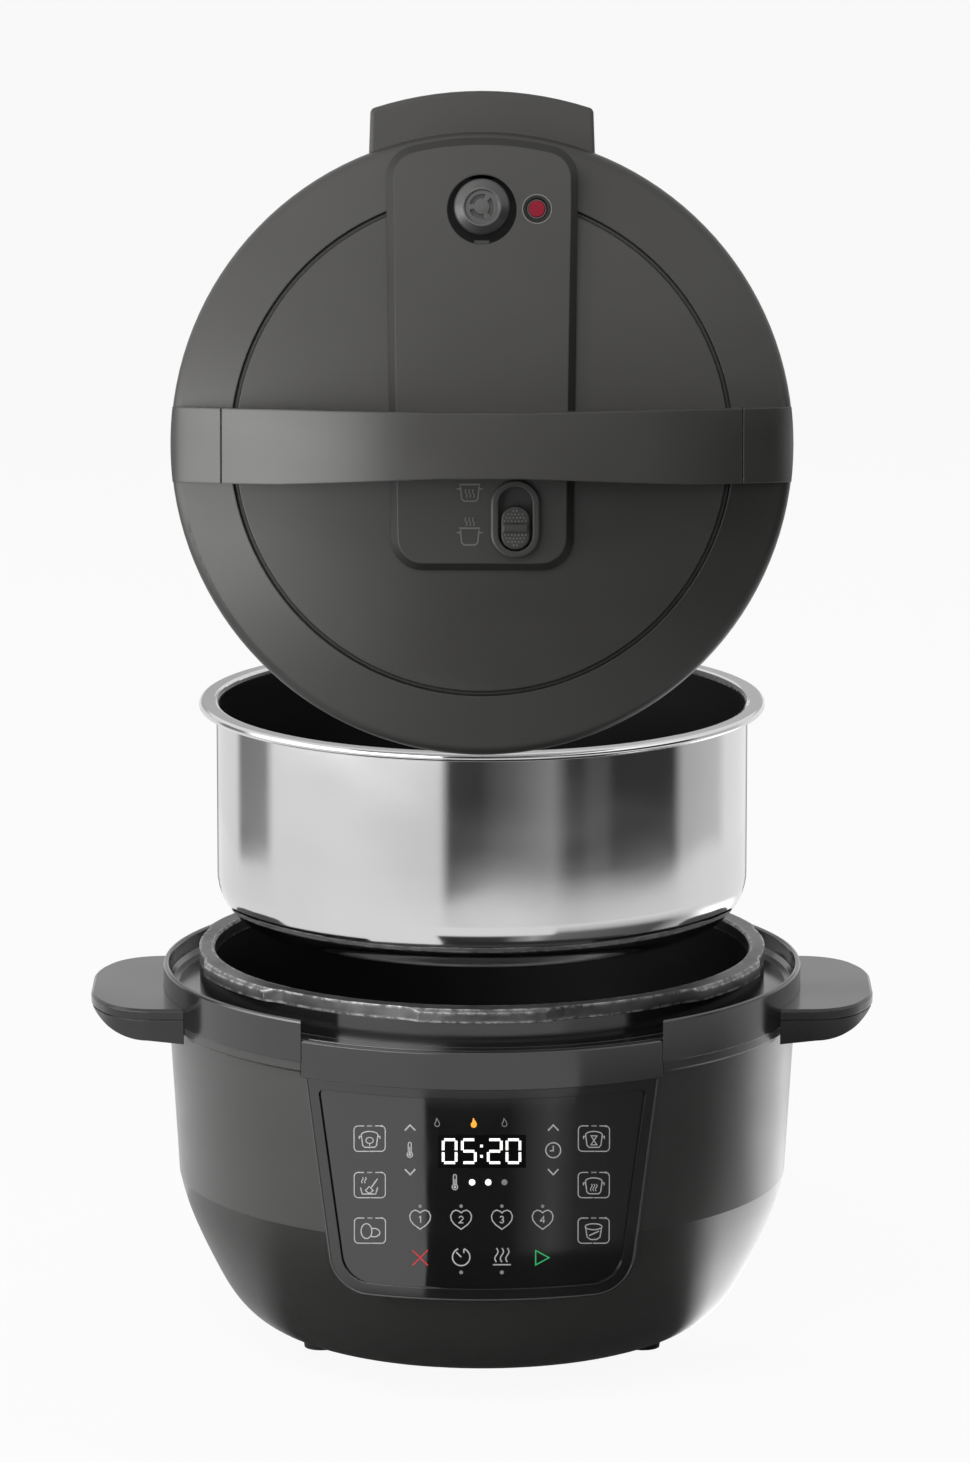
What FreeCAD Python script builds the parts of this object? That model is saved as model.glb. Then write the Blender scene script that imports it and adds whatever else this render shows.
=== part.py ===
import FreeCAD, Part
import math
import os

from FreeCAD import Vector as V

os.makedirs("parts", exist_ok=True)

# Driving dimensions in millimetres; the origin is on the floor under the base axis
RING_R = 166.0
RING_WALL = 3.0
RING_TOP = 198.5
BAND_BOTTOM = 177.0
STRIP_TOP = 188.4
STRIP_BOTTOM = 169.2
STRIP_HALF = 91.5
STRIP_BACK_R = 162.2
HOUSING_TOP_R = 163.6
LEDGE_R = 165.5
LEDGE_BOTTOM = 171.4
CREASE_R = 158.3
CREASE_Z = 88.0
FLOOR_R = 104.0
FLOOR_Z = 7.0
SHEET = 2.4
FLANGE_TOP = 207.0
FLANGE_T = 7.0
FLANGE_BORE = 139.2
FLANGE_R = 147.2
FLANGE_LUG_R = 150.5
LUG_COUNT = 6
FLANGE_LUG_DEG = 33.0
LID_LUG_DEG = 20.0
LOCK_TURN = 30.0
POT_R = 137.5
POT_T = 1.6
POT_RIM_R = 146.5
POT_RIM_TOP = 211.5
POT_BOTTOM = 94.5
POT_CORNER = 26.0
POT_LIFT = 126.0
HEATER_TOP = 94.2
LID_R = 154.0
LID_EDGE_Z = 203.0
LID_TOP = 241.0
INNER_TOP = 215.7
INNER_BOTTOM = 214.5
GROOVE_R = 122.6
SPINE_TOP = 245.0
SPINE_CROWN = 1500.0
SPINE_HALF = 44.8
SPINE_TAPER = 2.8
SPINE_BEVEL = 3.6
SPINE_FRONT = -61.5
SPINE_REAR = 151.0
SPINE_CORNER = 16.0
HANDLE_TOP = 277.0
HANDLE_HALF_END = 18.6
HANDLE_HALF_MID = 15.6
HANDLE_SEAM = 127.8
TAB_R = 174.3
VALVE_Y = 117.0
VALVE_RECESS_R = 17.0
VALVE_RECESS_Y = VALVE_Y - 1.3
KNOB_R = 13.8
KNOB_LIFT = 2.5
FLOAT_X = 27.0
FLOAT_Y = 116.0
FLOAT_R = 4.15
SWITCH_X = 16.5
SWITCH_Y = -36.0
SWITCH_TRAVEL = 8.0
LID_TILT = 82.0
PIVOT_Y = -(LID_R + 14.5)
PIVOT_Z = LID_EDGE_Z - 1.0
FEET = [(-84.0, -38.0), (84.0, -38.0), (-84.0, 38.0), (84.0, 38.0)]

Z_AXIS = V(0, 0, 1)
X_AXIS = V(1, 0, 0)
ORIGIN = V(0, 0, 0)


def profile_face(steps):
    # A closed face in the XZ plane: a pair is a line end, a triple of pairs marks an arc, a list is a spline
    start = V(steps[0][0], 0, steps[0][1])
    here = start
    edges = []
    for step in steps[1:]:
        if isinstance(step, list):
            points = [here] + [V(p[0], 0, p[1]) for p in step]
            curve = Part.BSplineCurve()
            curve.interpolate(points)
            edges.append(curve.toShape())
            here = points[-1]
        elif isinstance(step[0], tuple):
            middle = V(step[0][0], 0, step[0][1])
            end = V(step[1][0], 0, step[1][1])
            edges.append(Part.Arc(here, middle, end).toShape())
            here = end
        else:
            end = V(step[0], 0, step[1])
            edges.append(Part.makeLine(here, end))
            here = end
    if here.distanceToPoint(start) > 1e-6:
        edges.append(Part.makeLine(here, start))
    return Part.Face(Part.Wire(edges))


def revolved(steps):
    face = profile_face(steps)
    body = face.revolve(ORIGIN, Z_AXIS, 360.0)
    solid = Part.makeSolid(body.Shells[0])
    if solid.Volume < 0:
        solid.reverse()
    return solid


def tube(outer, inner, low, high, x=0.0, y=0.0):
    body = Part.makeCylinder(outer, high - low, V(x, y, low))
    if inner > 0:
        body = body.cut(Part.makeCylinder(inner, high - low + 2.0, V(x, y, low - 1.0)))
    return body


def box(x0, x1, y0, y1, z0, z1):
    return Part.makeBox(x1 - x0, y1 - y0, z1 - z0, V(x0, y0, z0))


def rounded_wire(corners, radii):
    # A closed wire of straight sides with an arc of the given radius at each corner
    count = len(corners)
    pieces = []
    for i in range(count):
        before = corners[i - 1]
        corner = corners[i]
        after = corners[(i + 1) % count]
        to_before = (before - corner).normalize()
        to_after = (after - corner).normalize()
        half = to_before.getAngle(to_after) / 2.0
        reach = radii[i] / math.tan(half)
        middle_way = (to_before + to_after).normalize()
        first = corner + to_before * reach
        last = corner + to_after * reach
        middle = corner + middle_way * (radii[i] / math.sin(half) - radii[i])
        pieces.append((first, middle, last))
    edges = []
    for i in range(count):
        first, middle, last = pieces[i]
        edges.append(Part.Arc(first, middle, last).toShape())
        following = pieces[(i + 1) % count][0]
        if last.distanceToPoint(following) > 1e-6:
            edges.append(Part.makeLine(last, following))
    return Part.Wire(edges)


def prism_z(corners, radii, low, high):
    wire = rounded_wire([V(x, y, low) for x, y in corners], radii)
    return Part.Face(wire).extrude(V(0, 0, high - low))


def prism_y(corners, radii, near, far):
    wire = rounded_wire([V(x, near, z) for x, z in corners], radii)
    return Part.Face(wire).extrude(V(0, far - near, 0))


def oval_z(x, y, half_x, half_y, low, high):
    left = x - half_x
    right = x + half_x
    corners = [(left, y - half_y), (right, y - half_y), (right, y + half_y), (left, y + half_y)]
    return prism_z(corners, [half_x * 0.98] * 4, low, high)


def raise_pot(shape):
    moved = shape.copy()
    moved.translate(V(0, 0, POT_LIFT))
    return moved


def stand_lid(shape):
    # The lid is drawn closed, then stood up above the raised pot
    moved = shape.copy()
    moved.rotate(V(0, PIVOT_Y, PIVOT_Z), X_AXIS, LID_TILT)
    moved.translate(V(0, 0, POT_LIFT))
    return moved


def sector(outer, inner, low, high, centre_deg, span_deg):
    face = profile_face([(inner, low), (outer, low), (outer, high), (inner, high)])
    body = face.revolve(ORIGIN, Z_AXIS, span_deg)
    if body.Volume < 0:
        body.reverse()
    body.rotate(ORIGIN, Z_AXIS, centre_deg - span_deg / 2.0)
    return body


# Base


def housing_steps(inset):
    return [
        (LEDGE_R - inset, BAND_BOTTOM),
        (LEDGE_R - 0.2 - inset, LEDGE_BOTTOM + 1.2),
        (cone_r(LEDGE_BOTTOM) - inset, LEDGE_BOTTOM - 0.4),
        (CREASE_R - inset, CREASE_Z),
        [
            (153.0 - inset, 69.5),
            (141.5 - inset, 43.5),
            (126.5 - inset, 19.5),
            (116.5 - inset, 11.5),
            (FLOOR_R - inset, FLOOR_Z),
        ],
    ]


def cone_r(z):
    return CREASE_R + (HOUSING_TOP_R - CREASE_R) * (z - CREASE_Z) / (BAND_BOTTOM - CREASE_Z)


PANEL_CORNERS = [(-75.5, 57.5), (75.5, 57.5), (89.5, 169.0), (-89.5, 169.0)]
PANEL_INNER = [(-69.6, 64.0), (69.6, 64.0), (82.8, 164.2), (-82.8, 164.2)]


def panel_shape(corners, radii, out, back_low, back_high):
    # A slice of the cone that the panel follows, trimmed to its outline
    shell = revolved([
        (back_low, 50.0),
        (cone_r(50.0) + out, 50.0),
        (cone_r(182.0) + out, 182.0),
        (back_high, 182.0),
    ])
    return shell.common(prism_y(corners, radii, -190.0, -60.0))


def strip_zone(gap):
    low = STRIP_BOTTOM - 0.2
    zone = tube(RING_R + 5.0, RING_R - RING_WALL - 2.0, low, 205.0)
    return zone.common(box(-STRIP_HALF - gap, STRIP_HALF + gap, -180.0, -60.0, low, 205.0))


def housing():
    outer = revolved(housing_steps(0.0) + [(0.0, FLOOR_Z), (0.0, BAND_BOTTOM)])
    inner = revolved(housing_steps(SHEET) + [(0.0, FLOOR_Z), (0.0, BAND_BOTTOM)])
    body = outer.cut(inner)
    body = body.cut(prism_y(PANEL_CORNERS, [20.0, 20.0, 1.0, 1.0], -190.0, -60.0))
    body = body.cut(strip_zone(0.3))
    return body.cut(box(-15.2, 15.2, 60.0, 200.0, 33.8, 56.2))


def upper_ring():
    body = revolved([
        (RING_R, BAND_BOTTOM),
        (RING_R, RING_TOP - 1.2),
        (RING_R - 0.4, RING_TOP - 0.4),
        (RING_R - 1.2, RING_TOP),
        (RING_R - 1.8, RING_TOP),
        (RING_R - 2.6, RING_TOP - 0.4),
        (RING_R - RING_WALL, RING_TOP - 1.2),
        (RING_R - RING_WALL, 190.0),
        (161.2, 187.6),
        (158.0, 186.6),
        (147.0, 186.6),
        (147.0, FLANGE_TOP - FLANGE_T),
        (142.4, FLANGE_TOP - FLANGE_T),
        (142.4, 184.2),
        (158.0, 184.2),
        (160.6, BAND_BOTTOM),
    ])
    return body.cut(strip_zone(0.0).cut(tube(STRIP_BACK_R, 0.0, 170.0, 210.0)))


def front_strip():
    body = revolved([
        (STRIP_BACK_R, STRIP_BOTTOM),
        (RING_R - 0.3, STRIP_BOTTOM),
        (RING_R - 0.3, STRIP_TOP - 0.8),
        (RING_R - 1.0, STRIP_TOP),
        (STRIP_BACK_R, STRIP_TOP),
    ])
    return body.common(box(-STRIP_HALF, STRIP_HALF, -180.0, -60.0, 160.0, 205.0))


def bayonet_flange():
    low = FLANGE_TOP - FLANGE_T
    body = tube(FLANGE_R, FLANGE_BORE - 1.0, low, FLANGE_TOP)
    root = FLANGE_LUG_DEG / 2.0
    plan = [(144.0, -root), (FLANGE_R, -root), (155.0, -8.0), (155.0, 8.0), (FLANGE_R, root), (144.0, root)]
    for i in range(LUG_COUNT):
        points = []
        for radius, angle in plan:
            turn = math.radians(360.0 / LUG_COUNT * (i + 0.5) + angle)
            points.append(V(radius * math.cos(turn), radius * math.sin(turn), low))
        lug = Part.Face(Part.makePolygon(points + [points[0]])).extrude(V(0, 0, FLANGE_T))
        body = body.fuse(lug)
    casting = revolved([
        (FLANGE_BORE, low),
        (FLANGE_LUG_R, low),
        (FLANGE_LUG_R, FLANGE_TOP - 1.8),
        (FLANGE_LUG_R - 1.6, FLANGE_TOP),
        (FLANGE_BORE + 1.0, FLANGE_TOP),
        (FLANGE_BORE, FLANGE_TOP - 1.0),
    ])
    return body.common(casting).removeSplitter()


def liner():
    return revolved([
        (142.3, FLANGE_TOP - FLANGE_T),
        (140.9, FLANGE_TOP - FLANGE_T),
        (140.9, 100.0),
        ((136.2, 88.7), (125.0, 84.0)),
        (20.0, 84.0),
        (20.0, 82.8),
        (125.4, 82.8),
        ((137.1, 87.7), (142.3, 100.0)),
    ])


def heater_plate():
    return revolved([
        (14.6, 84.0),
        (112.0, 84.0),
        ((115.5, 85.5), (117.0, 89.0)),
        (117.0, HEATER_TOP - 0.8),
        (116.2, HEATER_TOP),
        (40.0, HEATER_TOP),
        (34.0, HEATER_TOP - 0.7),
        (14.6, HEATER_TOP - 0.7),
    ])


def heater_legs():
    legs = []
    for i in range(3):
        angle = math.radians(120.0 * i + 30.0)
        legs.append(tube(5.0, 2.2, FLOOR_Z, 82.8, 92.0 * math.cos(angle), 92.0 * math.sin(angle)))
    return Part.makeCompound(legs)


def sensor_holder():
    body = tube(26.0, 12.6, 81.0, 82.8)
    body = body.fuse(tube(14.2, 12.6, 58.0, 82.0))
    return body.fuse(tube(14.2, 3.6, 56.4, 58.0)).removeSplitter()


def sensor_button():
    head = revolved([(0.0, 86.0), (11.8, 86.0), (11.8, 92.6), (11.0, 93.6), (0.0, 93.6)])
    return head.fuse(Part.makeCylinder(2.8, 36.0, V(0, 0, 51.0))).removeSplitter()


def bottom_plate():
    return revolved([(0.0, 4.2), (80.0, 4.2), (FLOOR_R - 1.0, FLOOR_Z), (0.0, FLOOR_Z)])


def bottom_cover():
    body = bottom_plate()
    for i in range(14):
        slot = box(40.0, 62.0, -1.6, 1.6, 0.0, 12.0)
        slot.rotate(ORIGIN, Z_AXIS, 360.0 / 14.0 * i)
        body = body.cut(slot)
    return body


def feet():
    solids = []
    for x, y in FEET:
        solids.append(Part.makeCone(8.6, 9.6, FLOOR_Z, V(x, y, 0.0)).cut(bottom_plate()))
    return Part.makeCompound(solids)


def handle_plan(inset, low, high):
    tip = 203.0 - inset
    bend = 188.0 - 0.8 * inset
    front = [(120.0, -65.0 + inset), (bend, -62.0 + inset), (tip, -30.0 + 0.4 * inset)]
    rear = [(tip, 28.0 - 0.4 * inset), (bend, 60.0 - inset), (120.0, 63.0 - inset)]
    radii = [1.0, 30.0 - inset, 58.0 - inset, 58.0 - inset, 30.0 - inset, 1.0]
    return prism_z(front + rear, radii, low, high)


def side_handle(side):
    # A D-shaped grip in two shells with a rising underside, hollow below
    wedge = profile_face([
        (140.0, 166.8),
        (172.0, 169.8),
        ((193.0, 174.6), (203.5, 182.0)),
        (203.5, 186.0),
        (140.0, 186.4),
    ])
    wedge = wedge.extrude(V(0, 140.0, 0))
    wedge.translate(V(0, -70.0, 0))
    body = handle_plan(0.0, 160.0, 192.0).common(wedge)
    brow = [e for e in body.Edges if e.BoundBox.ZMin > 185.8 and e.BoundBox.XMin > 121.0]
    body = body.makeChamfer(1.3, brow)
    seam = handle_plan(-3.0, 180.4, 181.0).cut(handle_plan(0.7, 180.0, 182.0))
    body = body.cut(seam)
    body = body.cut(handle_plan(6.5, 150.0, 179.4))
    body = body.cut(Part.makeCylinder(RING_R, 60.0, V(0, 0, 150.0)))
    if side < 0:
        body = body.mirror(ORIGIN, X_AXIS)
    return body


def panel_bezel():
    frame = panel_shape(PANEL_CORNERS, [20.0, 20.0, 1.0, 1.0], 1.6, 144.0, 157.0)
    frame = frame.cut(prism_y(PANEL_INNER, [14.5, 14.5, 3.0, 3.0], -190.0, -60.0))
    return frame


def touch_glass():
    return panel_shape(PANEL_INNER, [14.5, 14.5, 3.0, 3.0], 0.6, cone_r(50.0) - 1.4, cone_r(182.0) - 1.4)


def display_module():
    corners = [(-26.0, 125.0), (26.0, 125.0), (26.0, 150.0), (-26.0, 150.0)]
    shell = revolved([
        (cone_r(50.0) - 5.0, 50.0),
        (cone_r(50.0) - 1.4, 50.0),
        (cone_r(182.0) - 1.4, 182.0),
        (cone_r(182.0) - 5.0, 182.0),
    ])
    return shell.common(prism_y(corners, [2.0] * 4, -190.0, -60.0))


def control_board():
    board = box(-46.0, 46.0, -146.6, -145.0, 92.0, 158.0)
    behind = revolved([
        (0.0, 50.0),
        (cone_r(50.0) - 5.0, 50.0),
        (cone_r(182.0) - 5.0, 182.0),
        (0.0, 182.0),
    ])
    pads = box(-22.0, 22.0, -165.0, -146.6, 127.0, 148.0).common(behind)
    return board.fuse(pads).removeSplitter()


def power_board():
    board = box(-42.0, 42.0, 24.0, 76.0, FLOOR_Z, FLOOR_Z + 1.6)
    blocks = [
        (-28.0, 40.0, 18.0, 22.0, 20.0),
        (2.0, 36.0, 16.0, 16.0, 14.0),
        (22.0, 58.0, 12.0, 12.0, 18.0),
    ]
    for x, y, w, d, h in blocks:
        board = board.fuse(box(x, x + w, y, y + d, FLOOR_Z + 1.0, FLOOR_Z + 1.6 + h))
    return board.removeSplitter()


def power_inlet():
    block = box(-15.0, 15.0, 112.0, 146.0, 34.0, 56.0)
    corners = [(-11.5, 38.0), (11.5, 38.0), (11.5, 52.0), (-11.5, 52.0)]
    block = block.cut(prism_y(corners, [2.0, 2.0, 5.0, 5.0], 128.0, 150.0))
    for x, z in [(-6.5, 47.5), (6.5, 47.5), (0.0, 42.0)]:
        block = block.fuse(box(x - 1.0, x + 1.0, 124.0, 142.0, z - 2.0, z + 2.0))
    return block.removeSplitter()


# Pot


def inner_pot():
    low = POT_BOTTOM
    side = POT_R
    inner = POT_R - POT_T
    big = POT_CORNER
    bend = big * (1.0 - math.sqrt(0.5))
    small = big - POT_T
    tuck = small * (1.0 - math.sqrt(0.5))
    floor = low + POT_T + 1.4
    rim = POT_RIM_TOP
    return revolved([
        (0.0, low),
        (side - big, low),
        ((side - bend, low + bend), (side, low + big)),
        (side, rim - 5.6),
        ((side + 0.4, rim - 4.5), (side + 1.5, rim - 4.1)),
        (POT_RIM_R - 1.6, rim - 4.1),
        ((POT_RIM_R, rim - 2.1), (POT_RIM_R - 1.6, rim)),
        (inner + 3.0, rim),
        ((inner + 0.9, rim - 0.9), (inner, rim - 3.0)),
        (inner, floor + small),
        ((inner - tuck, floor + tuck), (inner - small, floor)),
        (0.0, floor),
    ])


# Lid, drawn in its closed place


def dome_middle(edge_r, edge_z, top_z):
    # A point half way out on the sphere through the dome's edge and top
    sag = top_z - edge_z
    ball = (edge_r * edge_r + sag * sag) / (2.0 * sag)
    r = edge_r / 2.0
    return (r, top_z - ball + math.sqrt(ball * ball - r * r))


def cover_envelope():
    return revolved(cover_outer() + [(0.0, 190.0), (LID_R, 190.0)])


def cover_outer():
    return [
        (LID_R, LID_EDGE_Z),
        (LID_R, LID_EDGE_Z + 12.5),
        ((LID_R - 1.3, LID_EDGE_Z + 16.6), (LID_R - 4.6, LID_EDGE_Z + 19.2)),
        (GROOVE_R + 1.6, 231.2),
        (GROOVE_R + 0.8, 229.4),
        (GROOVE_R - 0.6, 229.4),
        (GROOVE_R - 1.2, 232.6),
        (dome_middle(GROOVE_R - 1.2, 232.6, LID_TOP), (0.0, LID_TOP)),
    ]


def cover_solid():
    body = revolved(cover_outer() + [
        (0.0, LID_TOP - 3.6),
        (dome_middle(GROOVE_R - 1.2, 227.0, LID_TOP - 3.6), (GROOVE_R - 1.2, 227.0)),
        (LID_R - 6.2, 219.0),
        (LID_R - 1.7, 213.6),
        (LID_R - 1.7, LID_EDGE_Z),
    ])
    outer = Part.makeCylinder(TAB_R, 9.0, V(0, 0, 207.0))
    corners = [(-56.6, 120.0), (56.6, 120.0), (54.2, 190.0), (-54.2, 190.0)]
    tab = outer.common(prism_z(corners, [1.0] * 4, 207.0, 216.0))
    upright = [e for e in tab.Edges if e.BoundBox.ZLength > 8.9 and e.BoundBox.YMin > 155.0]
    tab = tab.makeFillet(3.0, upright)
    upper = [e for e in tab.Edges if abs(e.BoundBox.ZMin - 216.0) < 0.01]
    rounded = [e for e in upper if e.BoundBox.YMin > 150.0]
    if rounded:
        tab = tab.makeFillet(2.0, rounded)
    tab = tab.cut(Part.makeCylinder(LID_R - 1.0, 40.0, V(0, 0, 190.0)))
    return body.fuse(tab).removeSplitter()


def spine_outline(inset, low, high):
    # Straight flaring sides, and a rear end that follows the lid's rim
    half = SPINE_HALF - inset
    wide = SPINE_HALF + SPINE_TAPER - inset
    front = SPINE_FRONT + inset
    rear = SPINE_REAR - inset
    corners = [(-half, front), (half, front), (wide, rear + 12.0), (-wide, rear + 12.0)]
    corner = SPINE_CORNER - inset
    body = prism_z(corners, [corner, corner, 1.0, 1.0], low, high)
    body = body.common(Part.makeCylinder(rear, high - low, V(0, 0, low)))
    tall = [e for e in body.Edges if e.BoundBox.ZLength > high - low - 0.1]
    return body.makeFillet(corner, [e for e in tall if e.BoundBox.YMin > rear - 30.0])


def crown(drop):
    return Part.makeSphere(SPINE_CROWN, V(0, 0, SPINE_TOP - drop - SPINE_CROWN))


def valve_hole(radius):
    return Part.makeCylinder(radius, 80.0, V(0, VALVE_Y, 200.0))


def valve_recess():
    return Part.makeCylinder(VALVE_RECESS_R, 80.0, V(0, VALVE_RECESS_Y, 200.0))


def float_hole(radius):
    return Part.makeCylinder(radius, 80.0, V(FLOAT_X, FLOAT_Y, 200.0))


def lid_cover():
    return cover_solid().cut(valve_recess()).cut(float_hole(6.9))


def lid_spine():
    body = spine_outline(0.0, 212.0, 260.0).common(crown(0.0))
    top_edges = [e for e in body.Edges if e.BoundBox.ZMin > 225.0]
    body = body.makeChamfer(SPINE_BEVEL, top_edges)
    body = body.cut(cover_envelope())
    body = body.cut(cover_solid())
    key_y = VALVE_RECESS_Y - VALVE_RECESS_R
    key = box(-3.8, 3.8, key_y - 3.0, key_y + 1.9, 234.0, 239.6)
    body = body.cut(valve_recess().cut(key)).cut(float_hole(6.9))
    return body.cut(oval_z(SWITCH_X, SWITCH_Y, 8.5, 15.8, 200.0, 260.0))


def handle_arch(near, far):
    arch = profile_face([
        (0.0, HANDLE_TOP),
        [(48.0, 274.8), (92.0, 265.0), (120.0, 251.5), (138.0, 238.5), (149.0, 228.0), (154.0, 219.0)],
        (154.0, 203.0),
        (120.0, 203.0),
        (120.0, 236.0),
        [(112.0, 243.6), (92.0, 252.4), (70.0, 256.2), (50.0, 257.0)],
        (47.8, 250.0),
        (47.8, 236.0),
        (0.0, 236.0),
    ])
    body = arch.extrude(V(0, 60.0, 0))
    body.translate(V(0, -30.0, 0))
    body = body.fuse(body.mirror(ORIGIN, X_AXIS)).removeSplitter()
    mid = HANDLE_HALF_MID
    end = HANDLE_HALF_END
    front = [(-160.0, -end), (-100.0, -end), (-20.0, -mid), (20.0, -mid), (100.0, -end), (160.0, -end)]
    rear = [(160.0, end), (100.0, end - 0.5), (20.0, mid + 0.9)]
    rear = rear + [(-x, y) for x, y in reversed(rear)]
    points = [V(x, y, 190.0) for x, y in front + rear]
    plan = Part.Face(Part.makePolygon(points + [points[0]])).extrude(V(0, 0, 110.0))
    body = body.common(plan)
    body = body.common(tube(LID_R, 0.0, 195.0, 300.0))
    body = body.cut(cover_envelope())
    body = body.cut(spine_outline(-0.4, 200.0, 260.0).common(crown(0.0)))
    slab = box(near, far, -40.0, 40.0, 190.0, 300.0)
    return body.common(slab)


def lid_handle():
    return handle_arch(-HANDLE_SEAM, HANDLE_SEAM)


def handle_caps():
    right = handle_arch(HANDLE_SEAM + 0.5, 160.0)
    left = handle_arch(-160.0, -HANDLE_SEAM - 0.5)
    return Part.makeCompound([left, right])


def inner_lid():
    body = revolved([
        (0.0, INNER_TOP),
        (131.0, INNER_TOP),
        (135.0, 218.4),
        (148.2, 218.4),
        (152.2, 212.2),
        (152.2, 193.4),
        (151.0, 193.4),
        (151.0, 211.8),
        (147.6, 217.2),
        (135.4, 217.2),
        (131.4, INNER_BOTTOM),
        (0.0, INNER_BOTTOM),
    ])
    for i in range(LUG_COUNT):
        centre = 360.0 / LUG_COUNT * i
        body = body.fuse(sector(151.6, 147.8, 193.4, 199.2, centre, LID_LUG_DEG))
    body = body.removeSplitter()
    return body.cut(valve_hole(6.0)).cut(float_hole(4.8))


def sealing_ring():
    return revolved([
        (138.4, 211.8),
        (146.6, 211.8),
        (147.2, 213.0),
        (147.0, 216.9),
        (138.6, 216.9),
        (137.6, 215.6),
        (143.6, 215.0),
        (143.6, 213.9),
        (137.6, 213.0),
    ])


def ring_rack():
    return Part.makeTorus(135.0, 1.1, V(0, 0, 214.4), Z_AXIS)


def lid_post():
    return Part.makeCylinder(11.0, LID_TOP - 4.0 - INNER_TOP, V(0, 0, INNER_TOP)).cut(cover_solid())


def steam_pipe():
    body = tube(5.9, 2.5, 207.0, 231.0, 0.0, VALVE_Y)
    body = body.fuse(tube(9.5, 2.5, INNER_TOP, INNER_TOP + 2.4, 0.0, VALVE_Y))
    return body.fuse(tube(8.5, 2.5, INNER_BOTTOM - 2.6, INNER_BOTTOM, 0.0, VALVE_Y)).removeSplitter()


def anti_block_shield():
    body = revolved([
        (0.0, 196.0),
        (13.0, 196.0),
        (15.0, 198.0),
        (15.0, INNER_BOTTOM),
        (13.8, INNER_BOTTOM),
        (13.8, 198.5),
        (12.6, 197.2),
        (0.0, 197.2),
    ])
    for i in range(10):
        slot = box(10.0, 20.0, -1.3, 1.3, 200.0, 211.0)
        slot.rotate(ORIGIN, Z_AXIS, 36.0 * i)
        body = body.cut(slot)
    body.translate(V(0, VALVE_Y, 0))
    return body


def steam_knob():
    base = 222.0
    top = 242.2
    body = revolved([
        (6.6, base),
        (KNOB_R - 1.2, base),
        (KNOB_R, base + 1.2),
        (KNOB_R, top - 4.6),
        (KNOB_R - 0.6, top - 3.6),
        (9.4, top),
        (8.6, top),
        (8.2, top - 0.9),
        (0.0, top - 0.5),
        (0.0, 233.6),
        (6.6, 233.6),
    ])
    for i in range(3):
        slot = sector(6.2, 3.7, top - 2.6, top + 2.0, 120.0 * i, 92.0)
        body = body.cut(slot)
    body.translate(V(0, VALVE_Y, KNOB_LIFT))
    return body


def float_pin():
    top = 239.0
    body = Part.makeCylinder(FLOAT_R, top - 226.0, V(FLOAT_X, FLOAT_Y, 226.0))
    body = body.makeFillet(0.7, [e for e in body.Edges if e.BoundBox.ZMin > top - 0.1])
    return body.fuse(Part.makeCylinder(2.6, 24.0, V(FLOAT_X, FLOAT_Y, 204.0))).removeSplitter()


def float_cap():
    body = tube(6.6, 2.6, 206.0, 209.5, FLOAT_X, FLOAT_Y)
    body = body.fuse(tube(4.4, 0.0, 202.8, 204.0, FLOAT_X, FLOAT_Y))
    body = body.fuse(tube(4.4, 2.6, 204.0, 206.0, FLOAT_X, FLOAT_Y))
    return body.removeSplitter()


def float_bushing():
    return tube(6.9, 5.3, INNER_TOP, 239.9, FLOAT_X, FLOAT_Y)


def release_bezel():
    body = oval_z(SWITCH_X, SWITCH_Y, 12.2, 19.2, 238.0, 247.4)
    body = body.makeFillet(1.1, [e for e in body.Edges if e.BoundBox.ZMin > 247.3])
    body = body.cut(oval_z(SWITCH_X, SWITCH_Y, 8.5, 15.8, 200.0, 260.0))
    return body.cut(spine_outline(0.0, 200.0, 260.0).common(crown(0.0)))


def release_slider():
    y = SWITCH_Y - 4.4
    body = oval_z(SWITCH_X, y, 7.2, 10.9, 241.6, 246.6)
    body = body.makeFillet(0.9, [e for e in body.Edges if e.BoundBox.ZMin > 246.5])
    bar = box(SWITCH_X - 6.0, SWITCH_X + 6.0, y - 2.0, y + 2.0, 246.0, 247.8)
    return body.fuse(bar).removeSplitter()


FIXED = {
    "housing": housing,
    "upper_ring": upper_ring,
    "front_strip": front_strip,
    "bayonet_flange": bayonet_flange,
    "liner": liner,
    "heater_plate": heater_plate,
    "heater_legs": heater_legs,
    "sensor_holder": sensor_holder,
    "sensor_button": sensor_button,
    "bottom_cover": bottom_cover,
    "feet": feet,
    "panel_bezel": panel_bezel,
    "touch_glass": touch_glass,
    "display_module": display_module,
    "control_board": control_board,
    "power_board": power_board,
    "power_inlet": power_inlet,
}
LID = {
    "lid_cover": lid_cover,
    "lid_spine": lid_spine,
    "lid_handle": lid_handle,
    "handle_caps": handle_caps,
    "inner_lid": inner_lid,
    "sealing_ring": sealing_ring,
    "ring_rack": ring_rack,
    "lid_post": lid_post,
    "steam_pipe": steam_pipe,
    "anti_block_shield": anti_block_shield,
    "steam_knob": steam_knob,
    "float_pin": float_pin,
    "float_cap": float_cap,
    "float_bushing": float_bushing,
    "release_bezel": release_bezel,
    "release_slider": release_slider,
}

shapes = {}
for name, make in FIXED.items():
    shapes[name] = make()
shapes["handle_left"] = side_handle(-1)
shapes["handle_right"] = side_handle(1)
shapes["inner_pot"] = raise_pot(inner_pot())
for name, make in LID.items():
    shapes[name] = stand_lid(make())

for name, shape in shapes.items():
    if shape.ShapeType == "Compound" and len(shape.Solids) == 1:
        shape = shape.Solids[0]
    print(name, shape.ShapeType, len(shape.Solids), shape.isValid(), round(shape.Volume / 1000.0, 2), "cm3")
    shape.exportStep("parts/" + name + ".step")
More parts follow.
